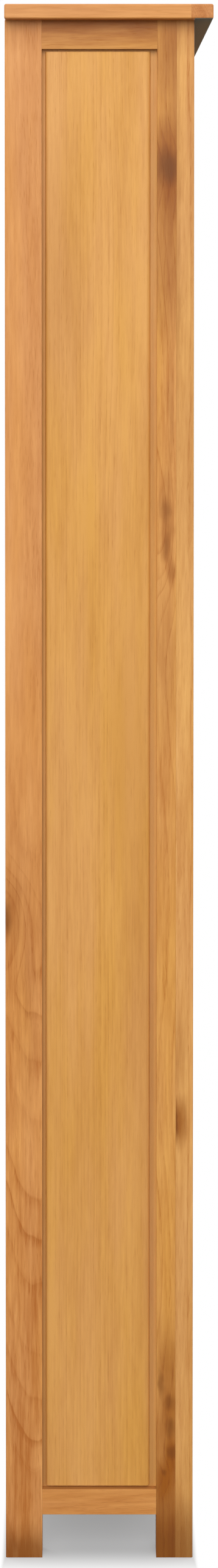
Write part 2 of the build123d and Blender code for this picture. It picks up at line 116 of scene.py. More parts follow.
# Metal and plastic: patches of handling, scratches across and along, and the grain of the mould,
# the last two drawn coarser than real ones so that they show
FILM_SIZE = 6.25 * MM
SCRATCH = (0.1667 * MM, 4.0 * MM)
SCRATCH_DEPTH = 0.01 * MM
HAZE_SIZE = 11.11 * MM
MOULD_GRAIN = 0.4 * MM
MOULD_DEPTH = 0.02 * MM

# Small metal: the material slot of each finish, the sizes that a screw is made from, the shares of
# pan heads, slots and crosses in the radius of the head, and of the tip in that of the shank
METAL_SLOTS = {"Lacquered brass": "screw_brass", "Zinc-plated steel": "fitting_steel"}
SCREW_SIZES = ("Head radius", "Neck radius", "Head height", "Shank radius", "Length", "Slot length",
               "Cross length", "Slot width", "Slot depth")
PAN_CROWN = 0.85
PAN_HEIGHT = 0.6
SLOT_REACH = 2.2
CROSS_REACH = 1.1
TIP = 0.3

# Catches: from their middle to the slots in their ears, from their back to those slots, and the
# ears' thickness. Strike plates: from their middle to their screws, which stand just proud.
EAR_REACH = 18.5 * MM
EAR_MIDDLE = 5.5 * MM
EAR_THICKNESS = 2.5 * MM
PLATE_REACH = 13.0 * MM
PLATE_PROUD = 0.08 * MM

# Pole plates: how deep they are, how far below the catch's middle, and how soft their edges are
POLE_DEPTH = 4.0 * MM
POLE_DROP = 1.0 * MM
POLE_EDGE = 0.3 * MM

# Brads: where a row up the back and one across it start, and the shares of a head's height and of
# its crown in its radius
BRAD_START = 40.0 * MM
BRAD_INSET = 60.0 * MM
BRAD_HEIGHT = 0.3
BRAD_CROWN = 0.7

# Softboxes: their places and sizes in metres
SOFTBOXES = {"Key light": ((-6.6, 0.3, 4.9), 5.5), "Front light": ((2.2, -4.0, 3.6), 2.4),
             "Back light": ((2.2, 4.0, 3.6), 2.4)}

# Floor: half its size in metres, where its shade starts and stops fading along the cabinet and
# beside it, as shares of half the cabinet, and the ambient light low down and high up
FLOOR_HALF = 12.0
SHADE_ALONG = (0.955, 1.10)
SHADE_BESIDE = (0.98, 1.06)
AMBIENT_SHARES = (1.4, 0.2)

# How squarely a face looks some way before it counts as turned there, and when it wholly does, and
# how strong the painted shade is on the edges that face a panel
TURNED = (0.5, 0.7)
QUIRK_STRENGTH = 0.4


def linear(hex_colour):
    """Linear RGBA of an sRGB hex colour."""
    channels = [int(hex_colour[n:n + 2], 16) / 255 for n in (1, 3, 5)]
    return (*[c / 12.92 if c <= 0.04045 else ((c + 0.055) / 1.055) ** 2.4 for c in channels], 1.0)


def colour_property(name, description, hex_colour):
    """Colour field of a property group."""
    return bpy.props.FloatVectorProperty(name=name, description=description, default=linear(hex_colour),
                                         subtype="COLOR", size=4, min=0.0, max=1.0)


def number_property(name, description, value, **kind):
    """Number field of a property group."""
    return bpy.props.FloatProperty(name=name, description=description, default=value, **kind)


def length_property(name, description, millimetres):
    """Length field of a property group, given in millimetres."""
    return number_property(name, description, millimetres * MM, unit="LENGTH", min=0.0, precision=5)


class OakSettings(bpy.types.PropertyGroup):
    """Colours and grain of the lacquered oak."""

    cream: colour_property("Cream", "Palest boards: stiles of the face frame", "#F7BE6E")
    straw: colour_property("Straw", "Pale boards: doors and insides", "#F4B968")
    wheat: colour_property("Wheat", "Front stiles of the sides", "#F1B45C")
    honey: colour_property("Honey", "Panels", "#E0A34E")
    rose: colour_property("Rose", "Pinkish boards: back stiles and rails", "#E7A359")
    blush: colour_property("Blush", "Pink that lies in patches over every board", "#E5A878")
    amber: colour_property("Amber", "Dark heartwood in the boards", "#A86212")
    grain: colour_property("Grain", "What the growth rings, fibres and pores take away", "#C9A87E")
    knot: colour_property("Knot", "Heart of a knot", "#703C02")
    # Underside shade: painted shade, a dull grey-brown that darkens the top's underside under its front
    # overhang
    underside_shade: colour_property("Raw", "Bare, grey wood under the front overhang of the top", "#8A8D82")
    # Margin: painted shade, a darker tone mixed into the panels' sunk margins, stronger low down
    margin: colour_property("Margin", "Sunk margins of the panels, which the sander missed", "#A5764A")
    # Quirk shade: painted shade, a dark brown mixed into the edges of stiles and rails that face a panel
    quirk_shade: colour_property("Quirk", "Finish gathered in the corners round the panels", "#74461C")
    ring: length_property("Growth ring", "Width of one year's growth", 3.6)
    fibre_width: length_property("Fibre width", "Width of the streaks that fibres draw", 3.0)
    fibre_length: length_property("Fibre length", "Length of the streaks that fibres draw", 45.0)
    patch_width: length_property("Patch width", "Width of the soft patches of tone", 24.0)
    patch_length: length_property("Patch length", "Length of the soft patches of tone", 230.0)
    pore_width: length_property("Pore width", "Width of the open pores, coarse enough to show", 0.8)
    pore_length: length_property("Pore length", "Length of the open pores", 14.0)
    relief: length_property("Relief", "Depth of the pores under the lacquer", 0.12)
    arris: length_property("Arris", "Softening of the sawn edges", 0.5)


class FittingSettings(bpy.types.PropertyGroup):
    """Colours and sizes of the metal and plastic fittings."""

    brass: colour_property("Brass", "Hinges and screws", "#C9A158")
    steel: colour_property("Steel", "Shelf pins, strike plates and brads", "#B9BABC")
    plastic: colour_property("Plastic", "Housings of the catches", "#E4DFD3")
    slot_width: length_property("Slot width", "Width of the slots and crosses in the screw heads", 0.9)
    slot_depth: length_property("Slot depth", "Depth of the slots and crosses in the screw heads", 0.9)
    catch_head: length_property("Catch screw head", "Radius of the screw heads at the catches", 2.6)
    catch_shank: length_property("Catch screw shank", "Radius of the screws at the catches", 1.4)
    catch_screw: length_property("Catch screw", "Length of the screws at the catches", 12.0)
    brad_head: length_property("Brad head", "Radius of the brads' heads", 1.6)
    brad_spacing: length_property("Brad spacing", "Distance between the brads in the back", 118.0)
    pole_length: length_property("Pole length", "Length of the catches' steel pole plates", 18.0)
    pole_thickness: length_property("Pole thickness", "Thickness of the catches' steel pole plates", 1.6)
    pole_spread: length_property("Pole spread", "Distance between the two pole plates of a catch", 6.5)
    pole_proud: length_property("Pole proud", "How far the pole plates stand out of their housing", 0.15)


class StageSettings(bpy.types.PropertyGroup):
    """Camera, floor and light."""

    distance: length_property("Distance", "From the camera to the side of the cabinet", 2500.0)
    eye: length_property("Eye height", "Height of the camera above the floor", 1400.8)
    aside: length_property("Aside", "How far behind the middle of the cabinet the camera stands", 25.9)
    tilt: number_property("Tilt", "How far the camera looks down", 0.02614, subtype="ANGLE")
    lens: number_property("Lens", "Focal length", 52.97, unit="CAMERA")
    ambient: number_property("Ambient", "Strength of the light from all round", 0.9, min=0.0)
    key: number_property("Key", "Power of the soft light above the camera", 364.0, min=0.0, unit="POWER")
    fill: number_property("Fill", "Power of the soft lights round the other sides", 110.0, min=0.0,
                          unit="POWER")
    shade: number_property("Shade", "How light the floor's deepest shadow looks", 0.29, min=0.0, max=1.0)
    floor: colour_property("Floor", "Pale studio floor", "#A0A0A0")
    bounce: colour_property("Bounce", "Floor as the light under the cabinet meets it", "#404040")


def add(tree, kind, sockets=(), operation=None, **fields):
    """Add a node, set its fields, and give its sockets values or links from other nodes.

    kind is the node's short name. Sockets go by their names, or in the node's own order.
    """
    prefix = next(prefix for prefix in NODE_PREFIXES if hasattr(bpy.types, prefix + kind))
    node = tree.nodes.new(prefix + kind)
    if operation:
        node.operation = operation
    for field, value in fields.items():
        setattr(node, field, value)
    ready = [socket for socket in node.inputs if socket.enabled]
    if isinstance(sockets, dict):
        ready = [next(socket for socket in ready if socket.name == name) for name in sockets]
        sockets = sockets.values()
    for socket, value in zip(ready, sockets):
        if isinstance(value, bpy.types.Node):
            value = next(out for out in value.outputs if out.enabled)
        if isinstance(value, bpy.types.NodeSocket):
            tree.links.new(value, socket)
        else:
            socket.default_value = value
    return node


def new_material(name):
    """Empty material and its node tree."""
    material = bpy.data.materials.new(name)
    material.use_nodes = True
    material.node_tree.nodes.clear()
    return material, material.node_tree


def new_tree(name, kind, inputs, outputs):
    """Node group with the sockets that it takes and gives, and what is given to it."""
    tree = bpy.data.node_groups.new(name, kind)
    for way, sockets in (("INPUT", inputs), ("OUTPUT", outputs)):
        for socket, holds in sockets.items():
            tree.interface.new_socket(socket, in_out=way, socket_type=f"NodeSocket{holds}")
    return tree, add(tree, "GroupInput").outputs


def new_object(name, data):
    """Object in the scene for a mesh, a light or a camera."""
    thing = bpy.data.objects.new(name, data)
    bpy.context.scene.collection.objects.link(thing)
    return thing


def dress(name, material):
    """Give a CAD node its finish."""
    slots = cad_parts[name].data.materials
    slots.clear()
    slots.append(material)


def stretched_noise(tree, point, across, along, detail):
    """Noise whose cells are so wide across the grain and so long along it."""
    scaled = add(tree, "VectorMath", (point, (1 / across, 1 / across, 1 / along)), "MULTIPLY")
    return add(tree, "TexNoise", {"Vector": scaled, "Scale": 1.0, "Detail": detail}).outputs


def shaken(tree, point, drawn, reach):
    """Point pushed to either side of its place, over reach in all, as the drawn colour says."""
    centred = add(tree, "VectorMath", (drawn, (0.5, 0.5, 0.5)), "SUBTRACT")
    return add(tree, "VectorMath", (centred, reach, point), "MULTIPLY_ADD")


def oak_figure(oak):
    """Node group that cuts a board out of an oak log.

    Point is measured from the heart of the log: X across the board, Y through its
    thickness, Z along the grain. Growth rings lie round the heart, pores and fibres run
    along it, and boards wider than a stave are glued up from staves of their own log.
    """
    floats = ("Seed", "Stave", "Swell", "Knot", "Stain", "End grain", "Contrast", "Wander")
    group, given = new_tree("Oak figure", "ShaderNodeTree",
                            {"Point": "Vector", **dict.fromkeys(floats, "Float"), "Timber": "Color"},
                            {"Colour": "Color", "Roughness": "Float", "Height": "Float"})

    # Each stave comes from its own place in its own log
    across = add(group, "SeparateXYZ", (given["Point"],))
    staves = add(group, "Math", (across, given["Stave"]), "DIVIDE")
    stave = add(group, "Math", (staves,), "ROUND")
    lot = add(group, "CombineXYZ", (stave, given["Seed"]))
    draw = add(group, "TexWhiteNoise", {"Vector": lot}, noise_dimensions="3D").outputs
    place = shaken(group, given["Point"], draw["Color"], STAVE_REACH)

    # The heart wanders along the log, and the fibres ripple
    wander = stretched_noise(group, place, *BEND, 2.0)
    drift = add(group, "CombineXYZ", (given["Wander"], given["Wander"]))
    wandered = shaken(group, place, wander["Color"], drift)
    ripple = stretched_noise(group, place, *RIPPLE, 1.0)
    fibre_point = add(group, "VectorMath", (ripple["Color"], RIPPLE_REACH, wandered), "MULTIPLY_ADD")

    # Growth rings: a dark porous start that fades into pale summer wood
    flat = add(group, "VectorMath", (fibre_point, (1.0, 1.0, 0.0)), "MULTIPLY")
    radius = add(group, "VectorMath", (flat,), "LENGTH")
    swollen = add(group, "Math", (radius.outputs["Value"], given["Swell"]), "ADD")
    age = add(group, "Math", (swollen, oak.ring), "DIVIDE")
    uneven = add(group, "TexNoise", {"W": age, "Scale": 0.4, "Detail": 1.0}, noise_dimensions="1D")
    years = add(group, "Math", (uneven.outputs["Fac"], 2.2, age), "MULTIPLY_ADD")
    season = add(group, "Math", (years,), "FRACT")
    ring = add(group, "ValToRGB", {"Fac": season})
    ramp = ring.color_ramp.elements
    for end in ramp:
        end.color = (0.25, 0.25, 0.25, 1)
    for position, value in ((0.05, 1.0), (0.14, 0.7), (0.32, 0.2), (0.9, 0.0)):
        ramp.new(position).color = (value, value, value, 1)
    year = add(group, "Math", (years,), "FLOOR")
    luck = add(group, "TexWhiteNoise", {"W": year}, noise_dimensions="1D")
    weight = add(group, "MapRange", {"Value": luck.outputs["Value"], "To Min": 0.25, "To Max": 1.0})
    early = add(group, "Math", (ring.outputs["Color"], weight), "MULTIPLY")

    # Fibres, patches of tone and of blush, and pores that crowd in the early wood
    fibre = stretched_noise(group, fibre_point, oak.fibre_width, oak.fibre_length, 3.0)
    band = stretched_noise(group, fibre_point, oak.patch_width, oak.patch_length, 2.0)
    elsewhere = add(group, "VectorMath", (fibre_point, BLUSH_PLACE), "ADD")
    flush = stretched_noise(group, elsewhere, BLUSH_SIZE * oak.patch_width,
                            BLUSH_SIZE * oak.patch_length, 2.0)
    specks = stretched_noise(group, fibre_point, oak.pore_width, oak.pore_length, 1.0)
    open_pore = add(group, "MapRange", {"Value": specks["Fac"], "From Min": 0.56, "From Max": 0.72},
                    interpolation_type="SMOOTHSTEP")
    crowd = add(group, "MapRange", {"Value": early, "To Min": 0.35, "To Max": 1.0})
    pores = add(group, "Math", (open_pore, crowd), "MULTIPLY")

    # All that darkens the timber, added up
    dark = add(group, "Math", (early, 0.3, 0.3), "MULTIPLY_ADD")
    for source, share in ((fibre["Fac"], 0.8), (band["Fac"], 1.0)):
        centred = add(group, "Math", (source, 0.5), "SUBTRACT")
        dark = add(group, "Math", (centred, share, dark), "MULTIPLY_ADD")
    dark = add(group, "Math", (pores, 0.3, dark), "MULTIPLY_ADD")
    dark = add(group, "Math", (dark, given["Contrast"]), "MULTIPLY")
    tone = add(group, "MapRange", {"Value": draw["Value"], "To Min": -STAVE_TONE, "To Max": STAVE_TONE})
    for source, share in ((given["End grain"], 0.2), (given["Knot"], 0.35), (tone, 1.0)):
        dark = add(group, "Math", (source, share, dark), "MULTIPLY_ADD")
    warmth = add(group, "MapRange",
                 {"Value": flush["Fac"], "From Min": 0.35, "From Max": 0.65, "To Max": 0.3})
    flushed = add(group, "Mix", (warmth, given["Timber"], tuple(oak.blush)), data_type="RGBA")
    aged = add(group, "Mix", (given["Stain"], flushed, tuple(oak.amber)), data_type="RGBA")
    stained = add(group, "Mix", (1.0, aged, tuple(oak.grain)), data_type="RGBA", blend_type="MULTIPLY")
    grained = add(group, "Mix", (dark, aged, stained), data_type="RGBA")
    colour = add(group, "Mix", (given["Knot"], grained, tuple(oak.knot)), data_type="RGBA")

    # Lacquer lies smooth on the summer wood and sinks into the pores
    rough = add(group, "MapRange", {"Value": pores, "To Min": 0.48, "To Max": 0.66})
    sunk = add(group, "Math", (early, 0.25, pores), "MULTIPLY_ADD")
    height = add(group, "Math", (1.0, sunk), "SUBTRACT")
    add(group, "GroupOutput", {"Colour": colour, "Roughness": rough, "Height": height})
    return group


def bulges(tree, point, along, places, near, far):
    """Sum of soft bulges, each 1 within near of its radius and 0 beyond far, times its strength.

    Each place is a centre, a radius across the grain, a stretch along it and a strength.
    """
    total = 0.0
    for centre, radius, stretch, strength in places:
        size = [1 / radius] * 3
        size[AXES.index(along)] /= stretch
        offset = add(tree, "VectorMath", (point, centre), "SUBTRACT")
        scaled = add(tree, "VectorMath", (offset, size), "MULTIPLY")
        away = add(tree, "VectorMath", (scaled,), "LENGTH")
        bulge = add(tree, "MapRange", {"Value": away.outputs["Value"], "From Min": near, "From Max": far,
                                       "To Min": 1.0, "To Max": 0.0}, interpolation_type="SMOOTHSTEP")
        total = add(tree, "Math", (bulge, strength, total), "MULTIPLY_ADD")
    return total


def edging_mask(tree, here, along, across, low, high, width):
    """Mask of the strips that lip a board's ends, behind the strip that lips its front."""
    half = (high - low) / 2
    offset = add(tree, "VectorMath", (here, low + half), "SUBTRACT")
    parts = add(tree, "SeparateXYZ", (offset,)).outputs
    aside = add(tree, "Math", (parts[along],), "ABSOLUTE")
    at_end = add(tree, "Math", (aside, half[AXES.index(along)] - width), "GREATER_THAN")
    behind = add(tree, "Math", (parts[across], width - half[AXES.index(across)]), "GREATER_THAN")
    return add(tree, "Math", (at_end, behind), "MULTIPLY")


def margin_shade_mask(tree, depth, height):
    """Mask of the painted shade in a panel's sunk margin, weakest high up: 0 on the field and on the
    inner face.
    """
    wear_and_shade = add(tree, "MapRange", (height, *MARGIN_HEIGHT, *MARGIN_STRENGTH))
    sinks = add(tree, "MapRange", (depth, *MARGIN_DEPTH, 0.0, wear_and_shade))
    inside = add(tree, "MapRange", (depth, *BACK_DEPTH, 1.0, 0.0))
    return add(tree, "Math", (sinks, inside), "MULTIPLY")


def lacquered_oak(node, timber, along, through, heart, lean=(0.0, 0.0), wander=0.012, stave=10.0,
                  contrast=1.0, seed=0.0, flame=None, swirls=(), knots=(), stains=(), front_underside_shade=False,
                  edging=0.0, sunk=0, painted_light_edge=None, quirks=()):
    """Oak planed, sanded and lacquered satin: rings and pores show through a soft sheen.

    along is the axis of the grain and through the axis of the board's thickness. heart is
    how far the heart of the log lies from the board's middle, across it and through it.
    lean is how much the log drifts, across and through, for each metre along the grain, and
    wander how far its heart strays. stave is how wide the staves of a glued-up board are,
    contrast how strong its figure is, and seed which log it comes from. flame is the height
    below which the rings run out of the face, and how steeply. swirls push the rings aside,
    knots are dark and stains are amber, all as bulges() takes them. front_underside_shade
    paints shade on the underside where it overhangs the front, in a dull grey-brown. edging
    is how wide the strips are that lip the ends, with their own grain, and the front. sunk is
    the way into a fielded panel along its thickness; its sunk margin gets painted shade, and
    painted_light_edge is where that margin ends on the side where a strip gets painted light.
    quirks are the directions of the edges that face a panel, which get painted shade.
    """
    oak = bpy.context.scene.cabinet_oak
    group = bpy.data.node_groups.get("Oak figure") or oak_figure(oak)
    across = next(axis for axis in AXES if axis not in (along, through))
    low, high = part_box(node)
    origin = (low + high) / 2
    origin[AXES.index(across)] += heart[0]
    origin[AXES.index(through)] += heart[1]
    material, tree = new_material(f"Lacquered oak {node}")
    coordinates = add(tree, "TexCoord").outputs
    here, normal = coordinates["Object"], coordinates["Normal"]
    places = add(tree, "SeparateXYZ", (here,)).outputs
    facing = add(tree, "SeparateXYZ", (normal,)).outputs
    offset = add(tree, "VectorMath", (here, origin), "SUBTRACT")
    parts = add(tree, "SeparateXYZ", (offset,)).outputs
    turned = add(tree, "CombineXYZ", (parts[across], parts[through], parts[along]))
    point = add(tree, "VectorMath", (parts[along], (*lean, 0.0), turned), "MULTIPLY_ADD")
    end_grain = add(tree, "Math", (facing[along], facing[along]), "MULTIPLY")
    if edging:
        lipped = edging_mask(tree, here, along, across, low, high, edging)
        strip = add(tree, "CombineXYZ", (parts[along], parts[through], parts[across]))
        point = add(tree, "Mix", (lipped, point, strip), data_type="VECTOR")
        turned_end = add(tree, "Math", (facing[across], facing[across]), "MULTIPLY")
        end_grain = add(tree, "Mix", (lipped, end_grain, turned_end), data_type="FLOAT")
    swell = bulges(tree, here, along, swirls, near=0.0, far=3.0)
    if flame:
        level, slope = flame
        start = level - origin[AXES.index(along)]
        below = add(tree, "Math", (parts[along], -slope, slope * start), "MULTIPLY_ADD")
        runout = add(tree, "Math", (below, 0.0, FLAME_BLEND * slope), "SMOOTH_MAX")
        swell = add(tree, "Math", (runout, swell), "ADD")
        fade = [start + height for height in FLAME_FADE]
        contrast = add(tree, "MapRange", (parts[along], *fade, contrast, FLAME_CONTRAST * contrast))
    # Knots and stains have ragged outlines
    bites = stretched_noise(tree, point, *BITE, 3.0)
    rough_here = shaken(tree, here, bites["Color"], BITE_REACH)
    figure = add(tree, "Group", {"Point": point, "Seed": seed, "Stave": stave, "Swell": swell,
                                 "Knot": bulges(tree, rough_here, along, knots, near=0.2, far=1.2),
                                 "Stain": bulges(tree, rough_here, along, stains, near=0.2, far=1.3),
                                 "End grain": end_grain, "Contrast": contrast, "Wander": wander,
                                 "Timber": timber}, node_tree=group)
    colour, roughness = figure.outputs["Colour"], figure.outputs["Roughness"]
    # Painted shade: the underside under the front overhang is darkened to the grey-brown underside shade
    # and made fully rough
    if front_underside_shade:
        beneath = add(tree, "MapRange", (facing["Z"], *[-share for share in TURNED]))
        before = add(tree, "Math", (places["Y"], FACE_LOW.y), "LESS_THAN")
        shadowed = add(tree, "Math", (beneath, before), "MULTIPLY")
        colour = add(tree, "Mix", (shadowed, colour, tuple(oak.underside_shade)), data_type="RGBA")
        roughness = add(tree, "Math", (roughness, shadowed), "MAXIMUM")
    # Painted shade in the panel's sunk margin, except beside the front stile, where a strip fades to
    # cream: painted light
    if sunk:
        field = (low if sunk > 0 else high)[AXES.index(through)]
        depth = add(tree, "Math", (places[through], sunk, -sunk * field), "MULTIPLY_ADD")
        tone = tuple(oak.margin)
        if painted_light_edge:
            pale = add(tree, "MapRange", (places[across], painted_light_edge + LIT_STRIP_WIDTH, painted_light_edge))
            tone = add(tree, "Mix", (pale, tone, tuple(oak.cream)), data_type="RGBA")
        margin = margin_shade_mask(tree, depth, places["Z"])
        colour = add(tree, "Mix", (margin, colour, tone), data_type="RGBA")
    # Painted shade on the edges that face a panel
    for direction in quirks:
        looks = add(tree, "VectorMath", (normal, direction), "DOT_PRODUCT").outputs["Value"]
        corner = add(tree, "MapRange", (looks, *TURNED, 0.0, QUIRK_STRENGTH))
        colour = add(tree, "Mix", (corner, colour, tuple(oak.quirk_shade)), data_type="RGBA")
    edge = add(tree, "Bevel", {"Radius": oak.arris}, samples=4)
    relief = add(tree, "Bump",
                 {"Height": figure.outputs["Height"], "Distance": oak.relief, "Normal": edge})
    satin = add(tree, "BsdfPrincipled", {"Base Color": colour, "Roughness": roughness, "Normal": relief,
                                         "IOR": 1.5, "Specular IOR Level": 0.3})
    add(tree, "OutputMaterial", (satin,))
    dress(node, material)


def on_side(x, *places):
    """Bulges on a face across X, each given by its Y and Z, its radius, stretch and strength."""
    return [((x, y, z), *shape) for y, z, *shape in places]


def foot_shade(x, y, stretch=0.55, radius=0.13, strength=0.6):
    """Painted shade at a foot: the wood darkens towards the floor."""
    return (x, y, 0.0), radius, stretch, strength


class CABINET_OT_sides(bpy.types.Operator):
    """Finish the frames and panels of both sides"""

    bl_idname = "cabinet.sides"
    bl_label = "Sides"

    def execute(self, context):
        oak = context.scene.cabinet_oak
        for name, side in SIDES.items():
            face = SIDE_LOW.x if side < 0 else -SIDE_LOW.x
            self.back_stile(oak, name, side, face)
            self.front_stile(oak, name, side, face)
            self.panel_and_rails(oak, name, side, face)
        return {"FINISHED"}

    def back_stile(self, oak, name, side, face):
        """Rosy upright: straight above a knot at its back edge, flamed below it."""
        swirls, knots = [], [foot_shade(face, 0.0925, 0.32)]
        stains = on_side(face, (0.0925, 1.69, 0.04, 1.0, 0.42), (0.092, 0.7, 0.03, 4.5, 0.16),
                         (0.106, 0.715, 0.016, 2.6, 0.25), (0.088, 0.57, 0.012, 9.0, 0.22))
        if side < 0:
            swirls = on_side(face, (0.112, 0.708, 0.015, 2.0, 0.012))
            knots += on_side(face, (0.1125, 0.708, 0.0075, 3.0, 0.6))
        lacquered_oak(f"{name}_side_back_stile", oak.rose, "Z", "X", (-0.012, -side * 0.16),
                      contrast=0.75, seed=1.0 + side, flame=(0.8, 0.06), swirls=swirls, knots=knots,
                      stains=stains, quirks=[(0, -1, 0)])

    def front_stile(self, oak, name, side, face):
        """Front upright: amber near its ends, darkened with painted shade at its foot, with knots that
        the rings flow round.
        """
        knots, swirls = [foot_shade(face, -0.063)], []
        # The last stain darkens the foot further: painted shade near the floor
        stains = on_side(face, (-0.065, 1.69, 0.07, 1.2, 0.5), (-0.072, 1.58, 0.022, 7.0, 0.4),
                         (-0.063, 0.07, 0.035, 3.6, 0.6), (-0.060, 0.0, 0.03, 2.0, 0.4))
        if side < 0:
            swirls = on_side(face, (-0.066, 1.524, 0.012, 2.0, 0.007), (-0.060, 1.15, 0.010, 4.0, 0.006),
                             (-0.068, 1.095, 0.010, 4.5, 0.006), (-0.060, 0.091, 0.006, 1.5, 0.005),
                             (-0.062, 1.28, 0.011, 9.0, 0.011), (-0.066, 0.72, 0.010, 10.0, 0.009),
                             (-0.064, 0.33, 0.011, 8.0, 0.010))
            knots += on_side(face, (-0.066, 1.526, 0.015, 1.6, 0.8), (-0.0615, 1.152, 0.006, 2.4, 0.3),
                             (-0.0635, 1.112, 0.004, 3.6, 0.25), (-0.060, 0.091, 0.0035, 1.3, 0.45),
                             (-0.0575, 0.195, 0.004, 5.0, 0.5), (-0.065, 0.172, 0.006, 1.6, 0.45),
                             (-0.067, 0.145, 0.007, 1.8, 0.55), (-0.068, 0.118, 0.007, 1.5, 0.5))
            stains += on_side(face, (-0.064, 1.525, 0.028, 2.3, 0.6), (-0.062, 1.42, 0.03, 3.0, 0.45),
                              (-0.066, 0.20, 0.014, 3.0, 0.45), (-0.066, 0.155, 0.013, 2.4, 0.4),
                              (-0.063, 0.235, 0.02, 2.0, 0.3), (-0.062, 0.083, 0.014, 2.0, 0.4),
                              (-0.068, 0.115, 0.009, 2.4, 0.45), (-0.0665, 1.265, 0.0035, 22.0, 0.35),
                              (-0.0645, 1.18, 0.007, 3.0, 0.3), (-0.0615, 1.154, 0.009, 2.2, 0.5),
                              (-0.0635, 1.13, 0.009, 1.6, 0.5), (-0.0635, 1.11, 0.007, 2.4, 0.5),
                              (-0.068, 1.085, 0.005, 3.4, 0.5), (-0.062, 0.99, 0.019, 5.0, 0.28))
        lacquered_oak(f"{name}_side_front_stile", oak.wheat, "Z", "X", (0.004, -side * 0.03),
                      seed=5.0 + side, swirls=swirls, knots=knots, stains=stains)

    def panel_and_rails(self, oak, name, side, face):
        """Quarter-sawn panel with straight grain, between two plain rails."""
        swirls, knots = [], []
        # The last stain, a long narrow strip beside the field's front edge low down, is painted shade
        # along the bevel
        stains = on_side(face, (0.048, 1.43, 0.03, 5.5, 0.25), (0.023, 1.0, 0.016, 11.0, 0.13),
                         (-0.008, 0.9, 0.02, 8.0, 0.14), (0.05, 0.86, 0.02, 5.0, 0.1),
                         (-0.028, 0.8, 0.022, 17.0, 0.16), (0.055, 0.5, 0.014, 16.0, 0.1),
                         (0.02, 0.45, 0.03, 5.0, 0.08), (-0.038, 0.5, 0.012, 51.0, 0.15))
        if side < 0:
            swirls = on_side(face, (-0.016, 1.39, 0.011, 9.0, 0.006))
            knots = on_side(face, (-0.0132, 1.415, 0.0024, 2.4, 0.5))
        # The panel's margin gets painted shade, and a strip beside the front stile painted light
        lacquered_oak(f"{name}_side_panel", oak.honey, "Z", "X", (-0.25, side * 0.16), wander=0.006,
                      contrast=0.7, seed=9.0 + side, swirls=swirls, knots=knots, stains=stains,
                      sunk=-side, painted_light_edge=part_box(f"{name}_side_front_stile")[1].y)
        for rail, up in {"top": -1, "bottom": 1}.items():
            # The top rail's stain darkens its upper edge just under the top: painted shade from the
            # overhang
            edge = on_side(face, (0.01, 1.69, 0.03, 8.0, 0.9)) if up < 0 else []
            timber = oak.honey if up < 0 else oak.rose
            lacquered_oak(f"{name}_side_{rail}_rail", timber, "Y", "X", (0.03, -side * 0.06),
                          lean=(0.02, 0.03), seed=14.0 + up + 2 * side, stains=edge,
                          quirks=[(0, 0, up)])


class CABINET_OT_face_frame(bpy.types.Operator):
    """Finish the face frame round the doors"""

    bl_idname = "cabinet.face_frame"
    bl_label = "Face frame"

    def execute(self, context):
        oak = context.scene.cabinet_oak
        for name, side in SIDES.items():
            low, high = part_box(f"face_{name}_stile")
            knots = [foot_shade((low.x + high.x) / 2, low.y)]
            stains = on_side(low.x, (low.y, 0.04, 0.06, 1.6, 0.2), (low.y, 0.25, 0.05, 6.0, 0.12),
                             (low.y, 1.30, 0.05, 8.5, 0.24), (-0.081, 1.69, 0.05, 0.8, 0.5),
                             (high.y, 1.45, 0.006, 50.0, 0.3))
            if side < 0:
                knots += on_side(low.x, (-0.0745, 0.486, 0.0032, 8.0, 0.5))
                stains += on_side(low.x, (-0.078, 0.484, 0.010, 3.0, 0.8),
                                  (-0.077, 0.56, 0.010, 5.0, 0.3))
            lacquered_oak(f"face_{name}_stile", oak.cream, "Z", "Y", (side * 0.09, 0.016),
                          lean=(0.004, 0.01), contrast=0.95, seed=21.0 + side, knots=knots,
                          stains=stains)
        for n, rail in enumerate(("top", "bottom")):
            lacquered_oak(f"face_{rail}_rail", oak.rose, "X", "Y", (0.04, 0.05), lean=(0.004, 0.01),
                          seed=25.0 + n)
        return {"FINISHED"}


class CABINET_OT_doors(bpy.types.Operator):
    """Finish the frames and panels of both doors"""

    bl_idname = "cabinet.doors"
    bl_label = "Doors"

    def execute(self, context):
        oak = context.scene.cabinet_oak
        for name, side in SIDES.items():
            for n, stile in enumerate(("hinge", "meeting")):
                inward = -side if stile == "hinge" else side
                lacquered_oak(f"{name}_door_{stile}_stile", (oak.straw, oak.rose)[n], "Z", "Y",
                              (0.05 - 0.06 * n, 0.06), lean=(0.008, 0.02), seed=31.0 + n + 3 * side,
                              quirks=[(inward, 0, 0)])
            for n, rail in enumerate(("top", "middle", "bottom")):
                edges = {"top": [(0, 0, -1)], "middle": [(0, 0, -1), (0, 0, 1)], "bottom": [(0, 0, 1)]}
                lacquered_oak(f"{name}_door_{rail}_rail", oak.rose, "X", "Y", (0.02, 0.05 + 0.02 * n),
                              lean=(0.01, 0.03), seed=41.0 + n + 4 * side, quirks=edges[rail])
            for n, panel in enumerate(("lower", "upper")):
                lacquered_oak(f"{name}_door_{panel}_panel", oak.honey, "Z", "Y", (0.0, 0.06),
                              lean=(0.006, 0.03), contrast=0.7, seed=51.0 + n + 3 * side,
                              stave=PANEL_STAVE, sunk=1)
        return {"FINISHED"}


